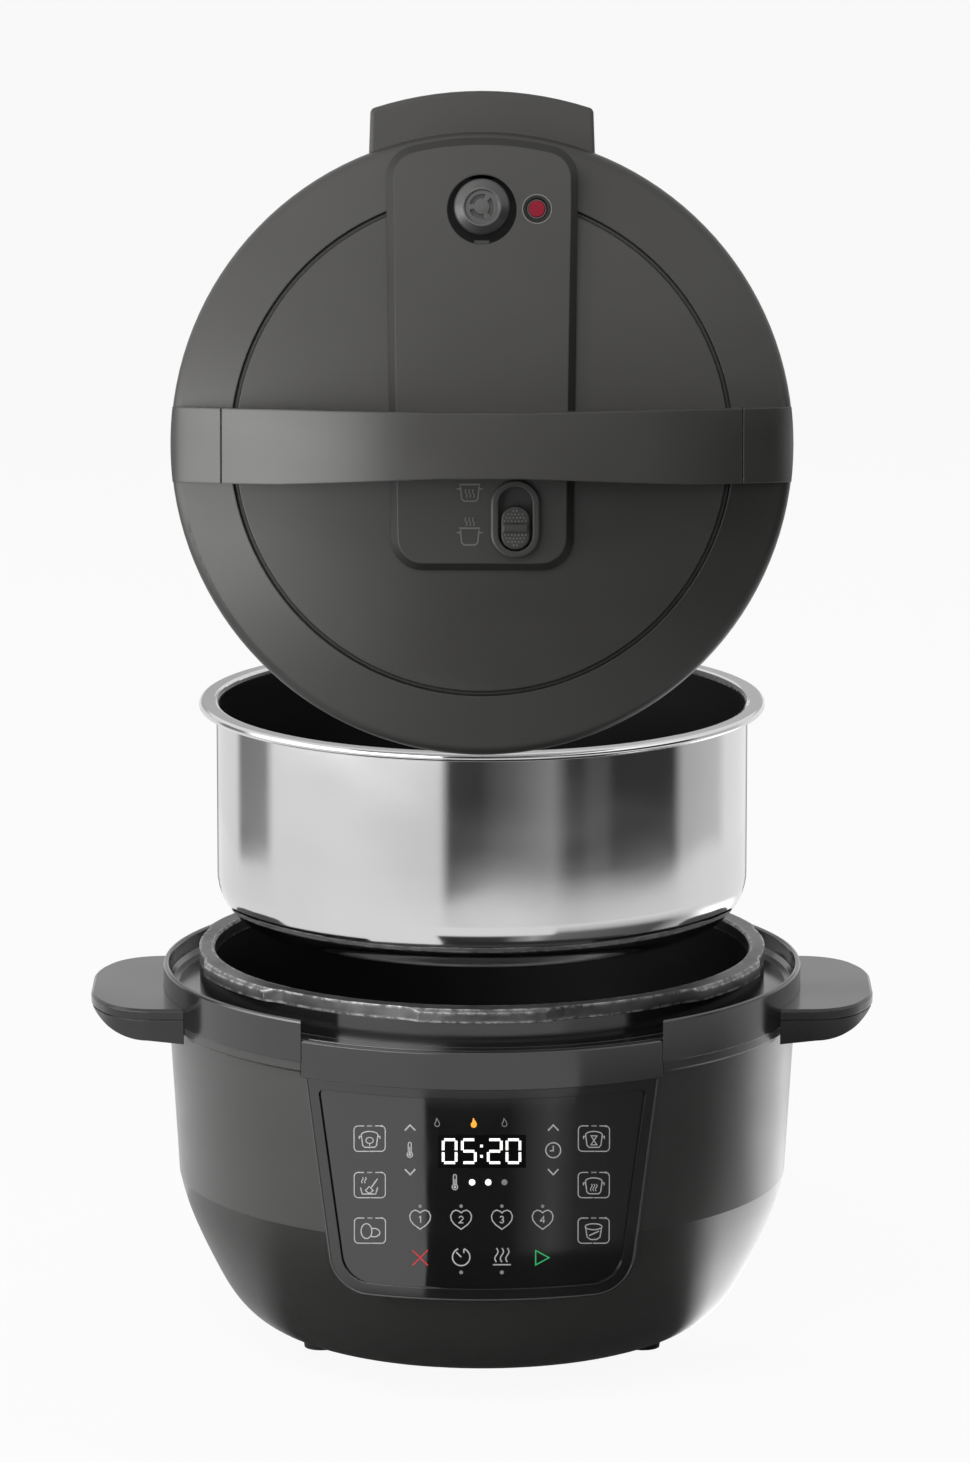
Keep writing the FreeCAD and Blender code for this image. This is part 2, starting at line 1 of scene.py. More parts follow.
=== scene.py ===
import bpy
import math
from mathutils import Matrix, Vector


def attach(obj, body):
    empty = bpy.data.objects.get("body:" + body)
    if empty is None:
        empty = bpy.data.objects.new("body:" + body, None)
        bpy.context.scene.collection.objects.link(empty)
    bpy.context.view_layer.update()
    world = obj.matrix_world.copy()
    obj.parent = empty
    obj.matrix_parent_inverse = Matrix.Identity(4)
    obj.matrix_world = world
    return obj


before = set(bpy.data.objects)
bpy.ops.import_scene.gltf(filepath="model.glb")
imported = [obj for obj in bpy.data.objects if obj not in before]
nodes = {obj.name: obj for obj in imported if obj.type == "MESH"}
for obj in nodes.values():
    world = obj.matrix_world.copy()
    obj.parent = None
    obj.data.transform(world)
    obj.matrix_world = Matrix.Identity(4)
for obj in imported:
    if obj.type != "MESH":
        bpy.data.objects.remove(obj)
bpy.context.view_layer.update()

MM = 0.001

# The lid stands up from its closed place about this line, then rides up with the pot
TILT = math.radians(82.0)
PIVOT_Y = -168.5 * MM
PIVOT_Z = 202.0 * MM
LIFT = 126.0 * MM
LID_UP = Vector((0.0, -math.sin(TILT), math.cos(TILT)))


def closed_to_rest(x, y, z):
    # A point of the closed lid, moved to its place at rest
    c = math.cos(TILT)
    s = math.sin(TILT)
    dy = y - PIVOT_Y
    dz = z - PIVOT_Z
    return Vector((x, PIVOT_Y + dy * c - dz * s, PIVOT_Z + dy * s + dz * c + LIFT))


# Materials

EDGE = 0.5 * MM
SOFT_EDGE = 1.1 * MM
CAST_WEAR = 2.6 * MM
WEAR_AND_SHEEN_SCALE = 220.0
WIPE_SCALE = 13.0
WIPE_STRETCH = (1.0, 1.0, 2.5)
GRAIN_HEIGHT = 0.05 * MM
COAT_ROUGH = 0.1
EVEN = (1.0, 1.0, 1.0)
SPUN = (1.0, 1.0, 22.0)
INK_SPECK = 1800.0
INK_SHADE = 0.82
INK_ROUGH = 0.4
INK_HEIGHT = 0.02 * MM
INK_DEPTH = 0.1
BEVEL_SAMPLES = 4

# Bands of noise, or of the turn of an edge, over which a tone or a roughness changes
PATCH_BAND = (0.35, 0.65)
WIPE_BAND = (0.3, 0.7)
SPECK_BAND = (0.3, 0.7)
WEAR_AND_SHEEN_BAND = (0.42, 0.6)
EDGE_BAND = (0.99, 0.9)


class Tree:
    # Shorthand for the nodes of one shader
    def __init__(self, owner):
        owner.use_nodes = True
        self.owner = owner
        self.nodes = owner.node_tree.nodes
        self.links = owner.node_tree.links

    def add(self, kind, operation=None):
        node = self.nodes.new(kind)
        if operation:
            node.operation = operation
        return node

    def feed(self, source, socket):
        # Link an output to a socket, or set a number or colour that is the same all over
        if isinstance(source, bpy.types.NodeSocket):
            self.links.new(source, socket)
        elif isinstance(source, tuple):
            socket.default_value = (*source, 1.0)
        else:
            socket.default_value = source

    def place(self):
        return self.add("ShaderNodeTexCoord").outputs["Object"]

    def math(self, operation, first, second):
        node = self.add("ShaderNodeMath", operation)
        self.feed(first, node.inputs[0])
        self.feed(second, node.inputs[1])
        return node.outputs["Value"]

    def noise(self, scale, detail=4.0, rough=0.5, stretch=EVEN):
        mapping = self.add("ShaderNodeMapping")
        mapping.inputs["Scale"].default_value = stretch
        self.feed(self.place(), mapping.inputs["Vector"])
        node = self.add("ShaderNodeTexNoise")
        self.feed(scale, node.inputs["Scale"])
        self.feed(detail, node.inputs["Detail"])
        self.feed(rough, node.inputs["Roughness"])
        self.feed(mapping.outputs["Vector"], node.inputs["Vector"])
        return node.outputs["Fac"]

    def remap(self, value, low, high, out_low=0.0, out_high=1.0):
        node = self.add("ShaderNodeMapRange")
        self.feed(low, node.inputs["From Min"])
        self.feed(high, node.inputs["From Max"])
        self.feed(out_low, node.inputs["To Min"])
        self.feed(out_high, node.inputs["To Max"])
        self.feed(value, node.inputs["Value"])
        return node.outputs["Result"]

    def mix(self, value, first, second):
        node = self.add("ShaderNodeMix")
        node.data_type = "RGBA"
        self.feed(first, node.inputs["A"])
        self.feed(second, node.inputs["B"])
        self.feed(value, node.inputs["Factor"])
        return node.outputs["Result"]

    def mix_shader(self, share, first, second):
        node = self.add("ShaderNodeMixShader")
        self.feed(share, node.inputs["Fac"])
        self.feed(first, node.inputs[1])
        self.feed(second, node.inputs[2])
        return node.outputs["Shader"]

    def glow(self, colour):
        node = self.add("ShaderNodeEmission")
        self.feed(colour, node.inputs["Color"])
        return node.outputs["Emission"]

    def rounded(self, radius):
        # The surface's normal with every edge rounded off
        node = self.add("ShaderNodeBevel")
        node.samples = BEVEL_SAMPLES
        self.feed(radius, node.inputs["Radius"])
        return node.outputs["Normal"]

    def rubbed_and_sheen_edges(self, radius):
        # One along the edges, for rubbed wear and for a painted edge highlight, broken up by noise, and
        # zero elsewhere
        turn = self.add("ShaderNodeVectorMath", "DOT_PRODUCT")
        self.feed(self.rounded(radius), turn.inputs[0])
        self.feed(self.add("ShaderNodeNewGeometry").outputs["Normal"], turn.inputs[1])
        edges = self.remap(turn.outputs["Value"], *EDGE_BAND)
        broken = self.remap(self.noise(WEAR_AND_SHEEN_SCALE, detail=5.0, rough=0.65), *WEAR_AND_SHEEN_BAND)
        return self.math("MULTIPLY", edges, broken)

    def bump(self, value, strength, height, edge=0.0):
        node = self.add("ShaderNodeBump")
        self.feed(strength, node.inputs["Strength"])
        self.feed(height, node.inputs["Distance"])
        self.feed(value, node.inputs["Height"])
        if edge > 0.0:
            self.feed(self.rounded(edge), node.inputs["Normal"])
        return node.outputs["Normal"]


def principled(name):
    tree = Tree(bpy.data.materials.new(name))
    return tree, tree.nodes["Principled BSDF"].inputs


def surface(name, dark, light, rough, metal=0.0, grain=900.0, depth=0.25, smudge=0.03, stretch=EVEN,
            coat=0.0, specular=0.5, edge=0.0, patch=9.0, wear_and_sheen=0.0, bared_and_sheen=0.0):
    # A tone that drifts between two values, fine grain in the bump, wiped smudges in the roughness, and a
    # lighter tone along edges: bared where worn, and a painted highlight on the lid's grip
    t, inputs = principled(name)
    colour = t.mix(t.remap(t.noise(patch, detail=5.0), *PATCH_BAND), dark, light)
    if wear_and_sheen > 0.0:
        colour = t.mix(t.rubbed_and_sheen_edges(wear_and_sheen), colour, (bared_and_sheen, bared_and_sheen, bared_and_sheen))
    wipe = t.noise(WIPE_SCALE, detail=1.5, stretch=WIPE_STRETCH)
    fine = t.noise(grain, detail=3.0, rough=0.6, stretch=stretch)
    t.feed(colour, inputs["Base Color"])
    t.feed(t.remap(wipe, *WIPE_BAND, rough - smudge, rough + smudge), inputs["Roughness"])
    t.feed(t.bump(fine, depth, GRAIN_HEIGHT, edge), inputs["Normal"])
    t.feed(metal, inputs["Metallic"])
    t.feed(specular, inputs["Specular IOR Level"])
    t.feed(coat, inputs["Coat Weight"])
    t.feed(COAT_ROUGH, inputs["Coat Roughness"])
    return t.owner


def print_ink(name, colour, light):
    # Printed or lit ink with fine specks
    t, inputs = principled(name)
    speck = t.remap(t.noise(INK_SPECK, detail=3.0), *SPECK_BAND)
    ink = t.mix(speck, tuple(c * INK_SHADE for c in colour), colour)
    t.feed(ink, inputs["Base Color"])
    t.feed(ink, inputs["Emission Color"])
    t.feed(light, inputs["Emission Strength"])
    t.feed(INK_ROUGH, inputs["Roughness"])
    t.feed(t.bump(speck, INK_DEPTH, INK_HEIGHT), inputs["Normal"])
    return t.owner


def grey(tone, spread=0.12, warm=0.0):
    # Two close tones of one grey, a little warmer where asked
    pair = []
    for k in (1.0 - spread, 1.0 + spread):
        pair.append((tone * k * (1.0 + warm), tone * k, tone * k * (1.0 - 2.0 * warm)))
    return pair


M = {
    "lid": surface("lid_plastic", *grey(0.025, 0.08, 0.03), 0.4, grain=1500.0, depth=0.35, specular=0.4,
                   edge=SOFT_EDGE),
    # The lighter tone along the grip's edges is a painted highlight
    "lid_grip": surface("lid_grip_plastic", *grey(0.025, 0.08, 0.03), 0.33, grain=1500.0, depth=0.2,
                        edge=SOFT_EDGE, wear_and_sheen=EDGE, bared_and_sheen=0.06),
    # A darker plastic; on the flanks of the lid's spine it is painted shade
    "lid_dark_and_painted_shade": surface("lid_dark_plastic_and_painted_shade", *grey(0.015, 0.1, 0.03), 0.5, grain=1500.0, specular=0.2,
                        edge=SOFT_EDGE),
    "knob": surface("knob_plastic", *grey(0.045, 0.08, 0.01), 0.36, grain=1300.0, edge=EDGE, wear_and_sheen=EDGE,
                    bared_and_sheen=0.12),
    # The light tone of the raised marks and studs is a painted highlight on their relief
    "relief_highlight": surface("raised_mark_painted_highlight", *grey(0.13, 0.08, 0.02), 0.36, grain=1500.0),
    # A painted highlight for the rounded outer edge of the panel's frame
    "edge_highlight": surface("panel_edge_highlight", *grey(0.075, 0.1), 0.22, grain=900.0, depth=0.05, edge=EDGE),
    "body": surface("body_paint", *grey(0.036, 0.08, 0.02), 0.32, grain=600.0, depth=0.03, coat=0.3),
    "gloss": surface("gloss_plastic", *grey(0.011, 0.15), 0.15, grain=500.0, depth=0.03, smudge=0.05,
                     specular=0.85, edge=EDGE),
    "grip": surface("grip_plastic", *grey(0.014, 0.15), 0.2, grain=900.0, depth=0.06, smudge=0.05,
                    edge=EDGE),
    "steel": surface("polished_steel", *grey(0.63, 0.04), 0.1, metal=1.0, grain=160.0, depth=0.02,
                     smudge=0.025, stretch=SPUN),
    # Painted shade: the inside of the pot is made dark for the shade and dark reflections under the lid
    "painted_shade_inside": surface("pot_inside_painted_shade", *grey(0.012, 0.15), 0.23, grain=700.0, depth=0.1),
    "spun": surface("spun_steel", *grey(0.55, 0.08), 0.23, metal=1.0, grain=260.0, depth=0.06,
                    stretch=SPUN),
    "cast": surface("cast_flange", *grey(0.09, 0.35), 0.37, metal=0.75, grain=420.0, depth=0.5,
                    smudge=0.08, edge=EDGE, patch=60.0, wear_and_sheen=CAST_WEAR, bared_and_sheen=0.65),
    "liner": surface("dark_enamel", *grey(0.008, 0.2), 0.42, grain=700.0, smudge=0.06),
    "heater": surface("heater_alloy", *grey(0.48, 0.12), 0.39, metal=1.0, grain=420.0, depth=0.2,
                      smudge=0.1),
    "glass": surface("printed_glass", *grey(0.0075, 0.2), 0.1, grain=300.0, depth=0.02, smudge=0.04,
                     specular=1.0),
    "board": surface("circuit_board", (0.01, 0.07, 0.03), (0.02, 0.10, 0.04), 0.45),
    "silicone": surface("silicone", *grey(0.62, 0.06, 0.01), 0.55),
    "red": surface("red_pin", (0.17, 0.006, 0.017), (0.21, 0.008, 0.021), 0.34, specular=0.15),
    "rubber": surface("foot_rubber", *grey(0.022, 0.15), 0.7, grain=1200.0, smudge=0.08),
    "black": surface("black_plastic", *grey(0.012, 0.15), 0.4, grain=1200.0, smudge=0.06, edge=EDGE),
    "window": surface("window_black", *grey(0.0025, 0.2), 0.32, grain=900.0, depth=0.02, specular=0.1),
    "white_ink": print_ink("white_ink", (0.50, 0.50, 0.50), 0.14),
    "grey_ink": print_ink("grey_ink", (0.30, 0.30, 0.30), 0.06),
    "digit": print_ink("lit_digit", (0.92, 0.92, 0.90), 0.9),
    "red_ink": print_ink("red_ink", (0.55, 0.02, 0.03), 0.45),
    "green_ink": print_ink("green_ink", (0.03, 0.42, 0.13), 0.45),
    "amber_ink": print_ink("amber_ink", (0.90, 0.36, 0.03), 0.8),
}

FINISH = {
    "body": ["housing"],
    "gloss": ["upper_ring", "front_strip", "panel_bezel"],
    "cast": ["bayonet_flange"],
    "liner": ["liner"],
    "heater": ["heater_plate", "sensor_button"],
    "spun": ["heater_legs", "sensor_holder", "inner_lid", "ring_rack", "steam_pipe", "anti_block_shield"],
    "black": ["bottom_cover", "display_module", "power_inlet", "lid_post"],
    "rubber": ["feet"],
    "grip": ["handle_left", "handle_right"],
    "glass": ["touch_glass"],
    "board": ["control_board", "power_board"],
    "steel": ["inner_pot"],
    "lid": ["lid_cover", "lid_spine", "release_bezel", "release_slider"],
    "lid_grip": ["lid_handle", "handle_caps"],
    "silicone": ["sealing_ring", "float_cap"],
    "knob": ["steam_knob"],
    "lid_dark_and_painted_shade": ["float_bushing"],
    "red": ["float_pin"],
}
for finish, names in FINISH.items():
    for name in names:
        mesh = nodes[name].data
        mesh.materials.clear()
        mesh.materials.append(M[finish])

POT_INSIDE_R = 137.2 * MM
# How far a face turns toward the axis, or toward the lid's upper side, to count as facing it
FACES_IN = 0.3
SPINE_FACES_UP = 0.85
LID_FACES_UP = 0.5


def paint_shade_on_faces(name, finish, test):
    # Faces of a node that pass the test take another, darker material as painted shade
    mesh = nodes[name].data
    mesh.materials.append(M[finish])
    for face in mesh.polygons:
        if test(face.center, face.normal):
            face.material_index = len(mesh.materials) - 1


def inside_pot(centre, normal):
    r = math.hypot(centre.x, centre.y)
    faces_in = (centre.x * normal.x + centre.y * normal.y) < -FACES_IN * r
    return r < POT_INSIDE_R and (faces_in or normal.z > FACES_IN)


def shaded_spine_flank(centre, normal):
    return normal.dot(LID_UP) < SPINE_FACES_UP


def shaded_upper_side(centre, normal):
    return normal.dot(LID_UP) > LID_FACES_UP


# Painted shade: the inside faces of the pot are darker, for the shade and dark reflections under the lid
paint_shade_on_faces("inner_pot", "painted_shade_inside", inside_pot)
# Painted shade: the flanks of the lid's spine are darker than its top
paint_shade_on_faces("lid_spine", "lid_dark_and_painted_shade", shaded_spine_flank)
# Painted shade: the inner lid's upper side, in the shade under the cover, is black
paint_shade_on_faces("inner_lid", "black", shaded_upper_side)


# Flat marks: strokes and fills in two dimensions

WAVE_STEPS = 12
LEAST_MITRE = 0.4


def ribbon(points, width, closed=False):
    # The quads of a flat stroke along a polyline, with mitred joints
    pts = [Vector((p[0], p[1])) for p in points]
    count = len(pts)
    verts = []
    for i in range(count):
        back = pts[i] - pts[i - 1] if (closed or i > 0) else pts[1] - pts[0]
        ahead = pts[(i + 1) % count] - pts[i] if (closed or i < count - 1) else pts[-1] - pts[-2]
        a = back.normalized()
        b = ahead.normalized()
        side = Vector((-(a + b).y, (a + b).x))
        side = side.normalized() if side.length > 1e-6 else Vector((-a.y, a.x))
        reach = width / 2.0 / max(LEAST_MITRE, abs(side.dot(Vector((-a.y, a.x)))))
        verts.append(pts[i] + side * reach)
        verts.append(pts[i] - side * reach)
    faces = []
    for i in range(count if closed else count - 1):
        j = (i + 1) % count
        faces.append((2 * i, 2 * i + 1, 2 * j + 1, 2 * j))
    return verts, faces


def fill(points):
    return [Vector((p[0], p[1])) for p in points], [tuple(range(len(points)))]


def arc(cx, cy, rx, ry, a0, a1, steps=20):
    out = []
    for i in range(steps + 1):
        a = math.radians(a0 + (a1 - a0) * i / steps)
        out.append((cx + rx * math.cos(a), cy + ry * math.sin(a)))
    return out


def disc(cx, cy, r, steps=14):
    return fill(arc(cx, cy, r, r, 0.0, 360.0 - 360.0 / steps, steps - 1))


def ring(cx, cy, rx, ry, width, steps=28):
    return ribbon(arc(cx, cy, rx, ry, 0.0, 360.0 - 360.0 / steps, steps - 1), width, True)


def wave(cx, cy, height, swing, width):
    pts = []
    for i in range(WAVE_STEPS + 1):
        t = i / WAVE_STEPS
        pts.append((cx + swing * math.sin(t * 2.0 * math.pi), cy - height / 2.0 + height * t))
    return ribbon(pts, width)


def around(cx, cy, shape):
    # Points given about a middle, moved to that middle
    return [(cx + x, cy + y) for x, y in shape]


def area_vector(points):
    total = Vector((0.0, 0.0, 0.0))
    for i in range(len(points)):
        total += points[i].cross(points[(i + 1) % len(points)])
    return total


def add_piece(name, verts, faces, material, body):
    mesh = bpy.data.meshes.new(name)
    mesh.from_pydata([tuple(p) for p in verts], [], faces)
    mesh.update()
    mesh.materials.append(M[material])
    obj = bpy.data.objects.new(name, mesh)
    bpy.context.scene.collection.objects.link(obj)
    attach(obj, body)


def build(name, marks, place, outward, material, body, rise=0.0):
    # Marks laid on a surface, faces outward; with a rise they are low relief with walls and a foot
    verts = []
    faces = []
    for mark_verts, mark_faces in marks:
        flat = [place(p.x, p.y) for p in mark_verts]
        out = outward(flat[0])
        top = len(verts)
        low = top + len(flat)
        verts += [p + out * rise for p in flat]
        facing = []
        for f in mark_faces:
            flip = area_vector([flat[k] for k in f]).dot(out) < 0.0
            facing.append(f[::-1] if flip else f)
        faces += [tuple(top + k for k in f) for f in facing]
        if rise == 0.0:
            continue
        verts += [p - out * rise for p in flat]
        faces += [tuple(low + k for k in reversed(f)) for f in facing]
        edges = {(f[i], f[(i + 1) % len(f)]) for f in facing for i in range(len(f))}
        for i, j in sorted(edges):
            if (j, i) not in edges:
                faces.append((top + j, top + i, low + i, low + j))
    add_piece(name, verts, faces, material, body)


# Printed marks on the panel, drawn on a flat sheet about an eighth of a millimetre to the unit, with the
# rows counted downward

PANEL_UNIT = 0.12545 * MM
PANEL_DROP = 0.13152 * MM
PANEL_MID = 771.8
PANEL_TOP = 195.52 * MM
PANEL_R = 161.8 * MM
PANEL_SAG = 0.271
PRINT_GAP = 0.12 * MM
LIT_GAP = 0.1 * MM
GLASS_LOW_R = 158.9 * MM
GLASS_FLARE = 5.3 / 89.0
GLASS_LOW_Z = 88.0 * MM

KEY_LEFT = 320
KEY_RIGHT = 1222
KEY_ROWS = (395, 582, 766)
KEY_HALF_WIDTH = 63.0
KEY_HALF_HEIGHT = 51.0
KEY_ROUND = 16.0
KEY_HALF_GAP = 22.0
KEY_HALF_LAMP = 11.0
ARROW_COLUMNS = (483, 1058)
ARROW_ROWS = (352, 529)
ARROW_TIP = 11.0
HEART_COLUMNS = (523, 688, 852, 1016)
HEART_ROW = 718
HEART_LAMP_ROW = 667
HEART_LAMP_R = 7.0
FOOT_ROW = 875
FOOT_LAMP_ROW = 934
FOOT_LAMP_R = 8.0
DOT_COLUMNS = (732, 797, 862)
DOT_ROW = 571
DOT_R = 12.0
LIT_DOT_R = 13.0
FLAME_COLUMNS = (592, 739, 862)
FLAME_ROW = 331
FLAME_PEN = 3.0
LIT_FLAME_ROW = 332
LIT_FLAME_SIZE = 1.25
HEAT_SIGN = (482, 440)
LEVEL_SIGN = (663, 570)
CLOCK_SIGN = (1058, 442)
DIGIT_COLUMNS = (642, 719, 823, 898)
DIGIT_ROW = 446
DIGIT_PEN = 11.0
COLON_COLUMN = 770
COLON_ROWS = (420, 461)
COLON_HEIGHT = 11.0
WINDOW_LEFT = 594.0
WINDOW_TOP = 381.0
WINDOW_FOOT = 513.0
WINDOW_STRIPS = 10
WINDOW_STRIP = 35.4
FINE = 4.0
LINE = 4.5
BOLD = 5.0
THICK = 6.0


def glass_r(z):
    return GLASS_LOW_R + GLASS_FLARE * (z - GLASS_LOW_Z)


def on_glass(u, v):
    x = (u - PANEL_MID) * PANEL_UNIT
    sag = PANEL_R - math.sqrt(PANEL_R * PANEL_R - x * x)
    z = PANEL_TOP - PANEL_DROP * v - PANEL_SAG * sag
    r = glass_r(z) + PRINT_GAP
    return Vector((x, -math.sqrt(r * r - x * x), z))


def above_window(u, v):
    return on_glass(u, v) + Vector((0.0, -LIT_GAP, 0.0))


def off_axis(p):
    return Vector((p.x, p.y, 0.0)).normalized()


def key_frame(cx, cy):
    # A rounded key outline, open at the top where its small lamp sits
    x = KEY_HALF_WIDTH
    y = KEY_HALF_HEIGHT
    r = KEY_ROUND
    pts = [(KEY_HALF_GAP, -y), (x - r, -y)]
    pts += arc(x - r, r - y, r, r, -90, 0, 5)
    pts += arc(x - r, y - r, r, r, 0, 90, 5)
    pts += arc(r - x, y - r, r, r, 90, 180, 5)
    pts += arc(r - x, r - y, r, r, 180, 270, 5)
    pts += [(-KEY_HALF_GAP, -y)]
    return ribbon(around(cx, cy, pts), FINE)


def key_lamp(cx, cy):
    bar = [(-KEY_HALF_LAMP, -KEY_HALF_HEIGHT), (KEY_HALF_LAMP, -KEY_HALF_HEIGHT)]
    return ribbon(around(cx, cy, bar), THICK)


def pan(cx, cy):
    left = [(-34, -20), (-28, 24), (-20, 32)]
    right = [(-x, y) for x, y in reversed(left)]
    marks = [ribbon(around(cx, cy, left + right), LINE)]
    marks.append(ribbon(arc(cx, cy - 18, 34, 14, 180, 360, 10), LINE))
    for side in (-1, 1):
        ear = [(34 * side, -12), (42 * side, -12), (42 * side, -2)]
        marks.append(ribbon(around(cx, cy, ear), LINE))
    return marks


def pan_with_valve(cx, cy):
    stem = ribbon(around(cx, cy, [(0, 19), (0, 29)]), FINE)
    return pan(cx, cy + 3) + [ring(cx, cy + 7, 15, 12, FINE), stem]


def pan_with_spoon(cx, cy):
    tray = [(-38, 10), (-30, 36), (24, 36), (32, 10)]
    spoon = [(-18, 22), (-2, 6), (14, 22), (-2, 34)]
    marks = [ribbon(around(cx, cy, tray), LINE), ribbon(around(cx, cy, spoon), FINE, True)]
    marks.append(ribbon(around(cx, cy, [(6, 10), (32, -26)]), BOLD))
    return marks + [wave(cx + x, cy - 20, height=24, swing=3.5, width=3.5) for x in (-30, -18)]


def eggs(cx, cy):
    behind = arc(cx + 16, cy + 8, 24, 17, -120, 130, 16)
    return [ring(cx - 14, cy + 2, 22, 30, LINE), ribbon(behind, LINE)]


def pan_with_glass(cx, cy):
    hourglass = [(-12, -11), (12, -11), (-12, 25), (12, 25)]
    return pan(cx, cy + 3) + [ribbon(around(cx, cy, hourglass), FINE, True)]


def pan_with_steam(cx, cy):
    steam = [wave(cx + x, cy + 10, height=28, swing=3.5, width=3.5) for x in (-10, 0, 10)]
    return pan(cx, cy + 3) + steam


def cup(cx, cy):
    bowl = [(-32, -10), (-26, 26), (-12, 36), (12, 36), (26, 26), (32, -10)]
    slant = ribbon(around(cx, cy, [(-18, 20), (22, 2)]), BOLD)
    return [ribbon(around(cx, cy, bowl), LINE), ring(cx, cy - 16, 34, 12, LINE), slant]


def thermometer(cx, cy):
    stem = [(cx - 6, cy + 12)] + arc(cx, cy - 24, 6, 6, 180, 360, 6) + [(cx + 6, cy + 12)]
    marks = [ribbon(stem, FINE), ring(cx, cy + 20, 11, 11, FINE, 16), disc(cx, cy + 20, 6)]
    return marks + [ribbon([(cx, cy + 16), (cx, cy - 12)], FINE)]


def clock(cx, cy):
    return [ring(cx, cy, 30, 30, BOLD), ribbon(around(cx, cy, [(0, -18), (0, 2), (-14, 2)]), BOLD)]


def chevron(cx, cy, tip):
    return ribbon(around(cx, cy, [(-21, -tip), (0, tip), (21, -tip)]), THICK)


def heart(cx, cy):
    half = [(0, -24), (8, -31), (22, -35), (35, -28), (42, -12), (39, 6), (26, 23), (0, 42)]
    mirrored = [(-x, y) for x, y in reversed(half[1:-1])]
    return ribbon(around(cx, cy, half + mirrored), LINE, True)


def timer(cx, cy):
    marks = [ribbon(arc(cx, cy - 3, 35, 35, -70, 250, 28), 5.5)]
    marks.append(ribbon(around(cx, cy, [(0, -3), (-20, -23)]), 5.5))
    return marks + [ribbon(around(cx, cy, [(11, -35), (11, -19)]), BOLD)]


def warmth(cx, cy):
    marks = [wave(cx + x, cy - 11, height=56, swing=6.5, width=BOLD) for x in (-22, 0, 22)]
    return marks + [ribbon(around(cx, cy, [(-36, 28), (36, 28)]), BOLD)]


def flame(cx, cy, size=1.0):
    shape = [(-2, -16), (5, -6), (10, 4), (8, 13), (0, 17), (-8, 13), (-10, 4), (-5, -2)]
    return around(cx, cy, [(x * size, y * size) for x, y in shape])


NUMBERS = {
    "1": [(-5, -8), (2, -13), (2, 13)],
    "2": arc(0, -5, 8, 8, 190, 380, 9) + [(-8, 13), (9, 13)],
    "3": arc(-1, -6, 7, 7, 200, 430, 9) + arc(-1, 6, 8, 7, -70, 160, 9),
    "4": [(4, 14), (4, -13), (-9, 6), (9, 6)],
}
LIT_SEGMENTS = {"0": "abcdef", "2": "abged", "5": "afgcd"}
SEGMENTS = {
    "a": ((-1, -1), (1, -1)), "b": ((1, -1), (1, 0)), "c": ((1, 0), (1, 1)), "d": ((-1, 1), (1, 1)),
    "e": ((-1, 0), (-1, 1)), "f": ((-1, -1), (-1, 0)), "g": ((-1, 0), (1, 0)),
}
SEGMENT_WIDTH = 26
SEGMENT_HEIGHT = 46
SEGMENT_GAP = 4.0


def seven_segment(text, cx, cy):
    out = []
    for key in LIT_SEGMENTS[text]:
        (x0, y0), (x1, y1) = [(x * SEGMENT_WIDTH, y * SEGMENT_HEIGHT) for x, y in SEGMENTS[key]]
        dx = SEGMENT_GAP if x1 > x0 else 0.0
        dy = SEGMENT_GAP if y1 > y0 else 0.0
        out.append(ribbon(around(cx, cy, [(x0 + dx, y0 + dy), (x1 - dx, y1 - dy)]), DIGIT_PEN))
    return out


def white_marks():
    marks = thermometer(*HEAT_SIGN) + thermometer(*LEVEL_SIGN) + clock(*CLOCK_SIGN)
    for sign, cy in zip((pan_with_valve, pan_with_spoon, eggs), KEY_ROWS):
        marks += sign(KEY_LEFT, cy) + [key_frame(KEY_LEFT, cy)]
    for sign, cy in zip((pan_with_glass, pan_with_steam, cup), KEY_ROWS):
        marks += sign(KEY_RIGHT, cy) + [key_frame(KEY_RIGHT, cy)]
    for cx in ARROW_COLUMNS:
        marks += [chevron(cx, ARROW_ROWS[0], -ARROW_TIP), chevron(cx, ARROW_ROWS[1], ARROW_TIP)]
    for number, cx in zip("1234", HEART_COLUMNS):
        marks += [heart(cx, HEART_ROW), ribbon(around(cx, HEART_ROW + 3, NUMBERS[number]), FINE)]
    return marks + timer(HEART_COLUMNS[1], FOOT_ROW) + warmth(HEART_COLUMNS[2], FOOT_ROW)


def unlit_lamps():
    marks = [disc(DOT_COLUMNS[2], DOT_ROW, DOT_R)]
    marks += [ribbon(flame(cx, FLAME_ROW), FLAME_PEN, True) for cx in FLAME_COLUMNS[::2]]
    marks += [key_lamp(cx, cy) for cx in (KEY_LEFT, KEY_RIGHT) for cy in KEY_ROWS]
    marks += [disc(cx, HEART_LAMP_ROW, HEART_LAMP_R) for cx in HEART_COLUMNS]
    return marks + [disc(cx, FOOT_LAMP_ROW, FOOT_LAMP_R) for cx in HEART_COLUMNS[1:3]]


def lit_digits():
    marks = [disc(cx, DOT_ROW, LIT_DOT_R) for cx in DOT_COLUMNS[:2]]
    for number, cx in zip("0520", DIGIT_COLUMNS):
        marks += seven_segment(number, cx, DIGIT_ROW)
    for row in COLON_ROWS:
        colon = around(COLON_COLUMN, row, [(0, 0), (0, COLON_HEIGHT)])
        marks.append(ribbon(colon, DIGIT_PEN))
    return marks


def window_strips():
    # Narrow upright strips, so that the window follows the round of the glass
    marks = []
    for k in range(WINDOW_STRIPS):
        left = WINDOW_LEFT + WINDOW_STRIP * k
        right = left + WINDOW_STRIP
        top = [(left, WINDOW_TOP), (right, WINDOW_TOP)]
        foot = [(right, WINDOW_FOOT), (left, WINDOW_FOOT)]
        marks.append(fill(top + foot))
    return marks


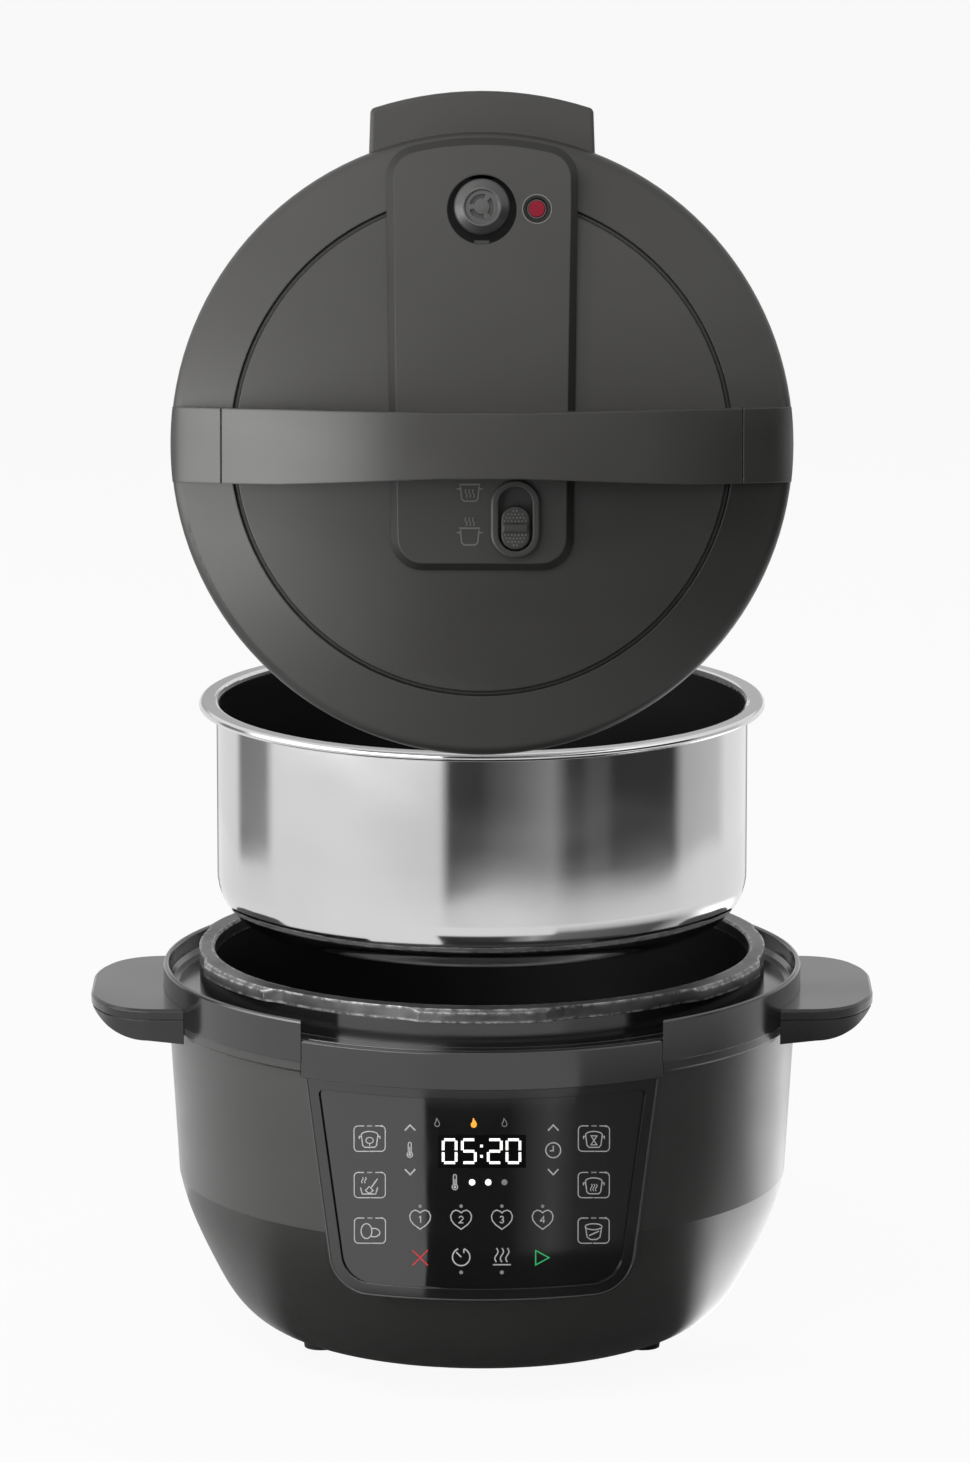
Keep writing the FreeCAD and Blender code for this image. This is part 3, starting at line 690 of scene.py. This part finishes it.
def stop_cross(cx, cy):
    return [ribbon(around(cx, cy, [(-31, -31 * k), (31, 31 * k)]), BOLD) for k in (1, -1)]


def start_arrow(cx, cy):
    return [ribbon(around(cx, cy, [(-28, -29), (-28, 29), (26, 0)]), BOLD, True)]


build("panel_marks", white_marks(), on_glass, off_axis, "white_ink", "base")
build("panel_lamps_off", unlit_lamps(), on_glass, off_axis, "grey_ink", "base")
build("panel_digits", lit_digits(), above_window, off_axis, "digit", "base")
build("display_window", window_strips(), on_glass, off_axis, "window", "base")
build("panel_stop", stop_cross(HEART_COLUMNS[0], FOOT_ROW), on_glass, off_axis, "red_ink", "base")
build("panel_start", start_arrow(HEART_COLUMNS[3], FOOT_ROW), on_glass, off_axis, "green_ink", "base")
lit_flame = fill(flame(FLAME_COLUMNS[1], LIT_FLAME_ROW, LIT_FLAME_SIZE))
build("panel_flame_lit", [lit_flame], on_glass, off_axis, "amber_ink", "base")


# A painted highlight along the outer edge of the panel's frame, a thin light strip for the light on its
# rounded edge, in millimetres

EDGE_HIGHLIGHT_WIDTH = 0.8
EDGE_HIGHLIGHT_RISE = 0.3 * MM
EDGE_HIGHLIGHT_INSET = 0.7
FRAME_RISE = 1.0 * MM
FRAME_TOP = (-89.5 + EDGE_HIGHLIGHT_INSET, 168.6)
FRAME_LOW = (-75.5 + EDGE_HIGHLIGHT_INSET, 57.5 + EDGE_HIGHLIGHT_INSET)
FRAME_ROUND = 20.0 - EDGE_HIGHLIGHT_INSET
SIDE_STEPS = 6
ROUND_STEPS = 10
FOOT_STEPS = 8


def on_frame(x, z):
    r = glass_r(z * MM) + FRAME_RISE
    return Vector((x * MM, -math.sqrt(r * r - x * x * MM * MM), z * MM))


def edge_highlight_path():
    # Down the left side, round its lower corner, then mirrored up the right side
    lean = math.atan2(FRAME_TOP[1] - FRAME_LOW[1], FRAME_LOW[0] - FRAME_TOP[0])
    reach = FRAME_ROUND / math.tan((math.pi - lean) / 2.0)
    side = (FRAME_LOW[0] - reach * math.cos(lean), FRAME_LOW[1] + reach * math.sin(lean))
    middle = (FRAME_LOW[0] + reach, FRAME_LOW[1] + FRAME_ROUND)
    left = []
    for k in range(SIDE_STEPS):
        share = k / SIDE_STEPS
        left.append(tuple(a + (b - a) * share for a, b in zip(FRAME_TOP, side)))
    left += arc(*middle, FRAME_ROUND, FRAME_ROUND, 270.0 - math.degrees(lean), 270.0, ROUND_STEPS)
    left += [(middle[0] * (1.0 - k / FOOT_STEPS), FRAME_LOW[1]) for k in range(1, FOOT_STEPS + 1)]
    return left + [(-x, z) for x, z in reversed(left[:-1])]


edge_highlight = ribbon(edge_highlight_path(), EDGE_HIGHLIGHT_WIDTH)
build("panel_edge_highlight", [edge_highlight], on_frame, off_axis, "edge_highlight", "base", EDGE_HIGHLIGHT_RISE)


# Raised marks on the lid, light in tone as a painted highlight on their relief, drawn in millimetres right
# and rearward of the lid's middle

CROWN_TOP = 245.0 * MM
CROWN_SPAN = 3.0e6
MARK_RISE = 0.3 * MM
RING_RISE = 0.2 * MM
SIGN_X = -6.0
SEALED_Y = -22.5
OPEN_Y = -44.0
FLOAT_X = 27.0
FLOAT_Y = 116.0
FLOAT_RING_R = 7.1


def on_lid(u, v):
    return closed_to_rest(u * MM, v * MM, CROWN_TOP - (u * u + v * v) / CROWN_SPAN)


def lid_up(p):
    return LID_UP


def small_pot(cx, cy, steam_y):
    # A pot with two ears and three curls of steam at the given height
    left = [(-4.6, 2.6), (-4.0, -3.6), (-2.8, -4.8)]
    right = [(-x, y) for x, y in reversed(left)]
    marks = [ribbon(around(cx, cy, left + right), 0.7)]
    marks.append(ribbon(around(cx, cy, [(-5.2, 3.4), (5.2, 3.4)]), 0.8))
    for side in (-1, 1):
        marks.append(ribbon(around(cx, cy, [(4.6 * side, 1.2), (6.4 * side, 1.2)]), 0.7))
    for x in (-1.8, 0.0, 1.8):
        marks.append(wave(cx + x, cy + steam_y, height=4.2, swing=0.45, width=0.55))
    return marks


lid_signs = small_pot(SIGN_X, SEALED_Y, -1.0) + small_pot(SIGN_X, OPEN_Y, 6.6)
build("lid_marks", lid_signs, on_lid, lid_up, "relief_highlight", "lid", MARK_RISE)
float_ring = ring(FLOAT_X, FLOAT_Y, FLOAT_RING_R, FLOAT_RING_R, 0.5)
build("float_ring", [float_ring], on_lid, lid_up, "relief_highlight", "lid", RING_RISE)


# Rows of small studs on both thumb pads of the slider, clear of its bar, in millimetres; their light tone
# is a painted highlight

SLIDER_X = 16.5
SLIDER_Y = -40.4
SLIDER_TOP = 246.6 * MM
PAD_R = 5.4
PAD_STRAIGHT = 3.7
BAR_HALF = 3.0
STUD_STEP = 1.7
STUD_ROWS = 6
STUD_LINES = 5
STUD_SIDES = 8
STUD_PROFILE = ((0.6, -0.2), (0.6, 0.1), (0.35, 0.4))


def stud_places():
    places = []
    for row in range(-STUD_ROWS, STUD_ROWS + 1):
        for line in range(-STUD_LINES, STUD_LINES + 1):
            x = STUD_STEP * (line + 0.5 * (row % 2))
            y = STUD_STEP * row
            if abs(y) >= BAR_HALF and math.hypot(x, max(0.0, abs(y) - PAD_STRAIGHT)) <= PAD_R:
                places.append((SLIDER_X + x, SLIDER_Y + y))
    return places


def slider_dots():
    verts = []
    faces = []
    for cx, cy in stud_places():
        base = len(verts)
        for r, height in STUD_PROFILE:
            for i in range(STUD_SIDES):
                a = 2.0 * math.pi * i / STUD_SIDES
                x = (cx + r * math.cos(a)) * MM
                y = (cy + r * math.sin(a)) * MM
                verts.append(closed_to_rest(x, y, SLIDER_TOP + height * MM))
        top = base + STUD_SIDES * (len(STUD_PROFILE) - 1)
        for low in range(base, top, STUD_SIDES):
            for i in range(STUD_SIDES):
                j = (i + 1) % STUD_SIDES
                faces.append((low + i, low + j, low + STUD_SIDES + j, low + STUD_SIDES + i))
        faces.append(tuple(top + i for i in range(STUD_SIDES)))
        faces.append(tuple(base + i for i in reversed(range(STUD_SIDES))))
    add_piece("slider_dots", verts, faces, "relief_highlight", "quick_release")


slider_dots()


# Stage: a floor, sheets that show only in the gloss, lights and camera

FLOOR_HALF = 9.0
FLOOR_TONE = (0.6, 0.6, 0.6)
FLOOR_ROUGH = 0.8
FLOOR_SHARE = 0.93
WHITE = (1.0, 1.0, 1.0)
SKY = (0.97, 0.98, 1.0)
SKY_LIGHT = 0.2
SWEEP_STEPS = 96
FLOOR_PATCH_HEIGHT = 0.4 * MM
HARD = 0.1 * MM


def seen_white(tree, dull, bright, share):
    # The lens, mirrors and glass see the bright shader; the rest of the light sees the dull one
    path = tree.add("ShaderNodeLightPath").outputs
    seen = tree.math("MAXIMUM", path["Is Camera Ray"], path["Is Glossy Ray"])
    seen = tree.math("MAXIMUM", seen, path["Is Transmission Ray"])
    return tree.mix_shader(tree.math("MULTIPLY", seen, share), dull, bright)


def stage_sheet(name, verts, faces, mat):
    mesh = bpy.data.meshes.new(name)
    mesh.from_pydata(verts, [], faces)
    mesh.materials.append(mat)
    obj = bpy.data.objects.new(name, mesh)
    bpy.context.scene.collection.objects.link(obj)
    return obj


def floor():
    tree, inputs = principled("pale_floor")
    tree.feed(FLOOR_TONE, inputs["Base Color"])
    tree.feed(FLOOR_ROUGH, inputs["Roughness"])
    dull = tree.nodes["Principled BSDF"].outputs["BSDF"]
    shader = seen_white(tree, dull, tree.glow(WHITE), FLOOR_SHARE)
    tree.feed(shader, tree.nodes["Material Output"].inputs["Surface"])
    corners = [(x * FLOOR_HALF, y * FLOOR_HALF, 0.0) for x, y in ((-1, -1), (1, -1), (1, 1), (-1, 1))]
    stage_sheet("floor", corners, [(0, 1, 2, 3)], tree.owner)


def gloss_glow(name, tones, upright, near, far):
    # A glow whose tone and cover run with the angle round the object, in degrees from the front. The cover
    # fades out from near to far, up the height or away from the middle
    start = tones[0][0]
    end = tones[-1][0]
    tree = Tree(bpy.data.materials.new(name))
    axes = tree.add("ShaderNodeSeparateXYZ")
    away = tree.add("ShaderNodeVectorMath", "LENGTH")
    place = tree.place()
    tree.feed(place, axes.inputs["Vector"])
    tree.feed(place, away.inputs[0])
    ahead = tree.math("MULTIPLY", axes.outputs["Y"], -1.0)
    angle = tree.math("ARCTAN2", axes.outputs["X"], ahead)
    ramp = tree.add("ShaderNodeValToRGB")
    tree.feed(tree.remap(angle, math.radians(start), math.radians(end)), ramp.inputs["Fac"])
    stops = ramp.color_ramp.elements
    while len(stops) < len(tones):
        stops.new(0.5)
    for stop, (at, tone, share) in zip(stops, tones):
        stop.position = (at - start) / (end - start)
        stop.color = (tone, tone, tone, share)
    reach = axes.outputs["Z"] if upright else away.outputs["Value"]
    cover = tree.math("MULTIPLY", ramp.outputs["Alpha"], tree.remap(reach, near, far, 1.0, 0.0))
    clear = tree.add("ShaderNodeBsdfTransparent").outputs["BSDF"]
    shader = tree.mix_shader(cover, clear, tree.glow(ramp.outputs["Color"]))
    tree.feed(shader, tree.nodes["Material Output"].inputs["Surface"])
    return tree.owner


def swept(name, near, far, tones, mat, ripple=0.0):
    # A sheet swept round the object between two rings, each a radius and a height; the first may ripple
    start = tones[0][0]
    span = tones[-1][0] - start
    verts = []
    for i in range(SWEEP_STEPS + 1):
        a = math.radians(start + span * i / SWEEP_STEPS)
        sway = ripple * (math.sin(4.0 * a + 0.6) + 0.5 * math.sin(7.0 * a + 1.0))
        for radius, height in ((near[0], near[1] + sway), far):
            verts.append((radius * math.sin(a), -radius * math.cos(a), height))
    faces = [(2 * i, 2 * i + 2, 2 * i + 3, 2 * i + 1) for i in range(SWEEP_STEPS)]
    sheet = stage_sheet(name, verts, faces, mat)
    sheet.visible_camera = False
    sheet.visible_diffuse = False
    sheet.visible_transmission = False
    sheet.visible_shadow = False


def studio_card(name, radius, low, high, soft, tones, ripple=0.0):
    # A curved card round the object, soft along its upper edge
    mat = gloss_glow(name, tones, True, high - soft, high)
    swept(name, (radius, low), (radius, high), tones, mat, ripple)


def floor_gloss_patch(name, inner, outer, soft, tones):
    # A patch flat on the floor that only the gloss sees, soft along its outer edge
    mat = gloss_glow(name, tones, False, outer - soft, outer)
    swept(name, (inner, FLOOR_PATCH_HEIGHT), (outer, FLOOR_PATCH_HEIGHT), tones, mat)


def whole(tones):
    return [(at, tone, 1.0) for at, tone in tones]


def mirror_tones(tones):
    return [(-at, tone, share) for at, tone, share in reversed(tones)]


# Tones along the angle: degrees from the front, brightness and, where a sheet fades, its cover
WIDE_TONES = whole([
    (-180, 0.9), (-126, 0.9), (-121, 0.26), (-101, 0.3), (-96, 0.95), (-60, 0.9), (-17, 0.84), (-13, 0.05),
    (-1, 0.05), (5, 0.1), (13, 0.15), (28, 0.3), (35, 0.06), (40, 0.05), (44, 0.1), (51, 0.1), (55, 0.04),
    (85, 0.045), (91, 0.55), (116, 0.7), (124, 1.0), (150, 1.0), (180, 0.9),
])
RIM_LEFT_TONES = [(-180, 0.55, 1.0), (-155, 0.45, 1.0), (-135, 0.45, 0.0)]
RIM_RIGHT_TONES = [(135, 0.55, 0.0), (155, 0.55, 1.0), (180, 0.55, 1.0)]
BACK_TONES = [(156, 0.2, 0.0), (163, 0.2, 1.0), (172, 0.2, 1.0), (179, 0.2, 0.0)]
LEFT_TONES = [(-105, 2.0, 0.0)]
LEFT_TONES += whole([(-95, 2.8), (-80, 4.5), (-50, 7.0), (-30, 7.0), (-15, 4.0)])
HIGH_TONES = whole([(-110, 1.8), (60, 1.6), (110, 1.0)])
FRONT_TONES = whole([(-16.2, 0.03), (8, 0.05), (20, 0.45), (27, 0.2)])
SIDE_TONES = [(27, 0.18, 1.0), (60, 0.12, 1.0), (74, 0.1, 1.0), (100, 0.1, 0.0)]
NEAR_SHADE_AND_LIGHT_TONES = whole([
    (-180, 0.9), (-140, 0.55), (-76, 0.5), (-62, 0.05), (66, 0.05), (80, 2.5), (120, 2.0), (180, 0.9),
])
FAR_LIGHT_TONES = [(98, 2.0, 0.0), (112, 2.0, 1.0), (138, 2.0, 1.0), (152, 1.6, 0.0)]
EDGE_TONES = [(-16.2, 0.03, 1.0), (62, 0.03, 1.0), (90, 0.03, 0.0)]

floor()
studio_card("card_wide", radius=0.95, low=0.08, high=0.6, soft=HARD, tones=WIDE_TONES, ripple=0.005)
studio_card("card_rim_left", radius=0.93, low=0.45, high=0.62, soft=HARD, tones=RIM_LEFT_TONES)
studio_card("card_rim_right", radius=0.93, low=0.45, high=0.62, soft=HARD, tones=RIM_RIGHT_TONES)
studio_card("card_back_left", radius=0.93, low=0.0, high=0.17, soft=0.03, tones=mirror_tones(BACK_TONES))
studio_card("card_back_right", radius=0.93, low=0.0, high=0.17, soft=0.03, tones=BACK_TONES)
studio_card("card_left", radius=0.9, low=0.2, high=0.66, soft=HARD, tones=LEFT_TONES)
studio_card("card_high", radius=0.95, low=0.68, high=1.3, soft=HARD, tones=HIGH_TONES)
studio_card("card_front", radius=0.36, low=0.0, high=0.105, soft=0.02, tones=FRONT_TONES)
studio_card("card_side", radius=0.36, low=0.0, high=0.165, soft=0.06, tones=SIDE_TONES)
# Painted shade where the object's shadow lies on the floor, with painted bright reflections to the right
# and back, seen only in the gloss
floor_gloss_patch("near_floor_painted_shade_and_light", inner=0.02, outer=0.3, soft=HARD, tones=NEAR_SHADE_AND_LIGHT_TONES)
# Painted bright reflection of the floor to the right and back, seen only in the gloss
floor_gloss_patch("far_floor_painted_light", inner=0.3, outer=0.8, soft=0.15, tones=FAR_LIGHT_TONES)
floor_gloss_patch("mat_front", inner=0.3, outer=0.36, soft=HARD, tones=EDGE_TONES)


def background(tree, node, colour, strength):
    tree.feed(colour, node.inputs["Color"])
    tree.feed(strength, node.inputs["Strength"])
    return node.outputs["Background"]


def surroundings():
    world = bpy.data.worlds.new("studio")
    bpy.context.scene.world = world
    tree = Tree(world)
    dull = background(tree, tree.nodes["Background"], SKY, SKY_LIGHT)
    bright = background(tree, tree.add("ShaderNodeBackground"), WHITE, 1.0)
    tree.feed(seen_white(tree, dull, bright, 1.0), tree.nodes["World Output"].inputs["Surface"])


def lamp(name, place, aim, width, height, watts):
    # A soft box that neither the lens nor the gloss sees
    light = bpy.data.lights.new(name, "AREA")
    light.shape = "RECTANGLE"
    light.size = width
    light.size_y = height
    light.energy = watts
    obj = bpy.data.objects.new(name, light)
    obj.location = place
    obj.rotation_euler = (Vector(aim) - Vector(place)).to_track_quat("-Z", "Y").to_euler()
    obj.visible_camera = False
    obj.visible_glossy = False
    bpy.context.scene.collection.objects.link(obj)


surroundings()
lamp("key_top", place=(-0.35, -0.6, 1.25), aim=(0, -0.15, 0.5), width=0.8, height=0.5, watts=11.0)
lamp("left_soft", place=(-1.7, -1.0, 0.75), aim=(0, -0.1, 0.4), width=0.8, height=0.8, watts=18.0)
lamp("right_soft", place=(1.6, 1.0, 0.75), aim=(0, 0, 0.25), width=0.7, height=1.7, watts=16.0)
lamp("back_wash", place=(-0.6, 2.2, 1.4), aim=(0, 0, 0.3), width=2.4, height=1.2, watts=12.0)


# The camera that was fitted to the photograph
CAMERA_PLACE = (0.0, -4.0651, 1.1463)
LOOK_DOWN = math.radians(11.494)
SENSOR = 36.0
LENS = 197.0
SHIFT = 0.00207
FAR_CLIP = 50.0


def photo_camera():
    lens = bpy.data.cameras.new("camera")
    lens.sensor_width = SENSOR
    lens.lens = LENS
    lens.shift_x = SHIFT
    lens.clip_end = FAR_CLIP
    eye = bpy.data.objects.new("camera", lens)
    eye.location = CAMERA_PLACE
    eye.rotation_euler = (math.pi / 2.0 - LOOK_DOWN, 0.0, 0.0)
    bpy.context.scene.collection.objects.link(eye)
    bpy.context.scene.camera = eye
    bpy.context.scene.view_settings.view_transform = "Standard"


photo_camera()
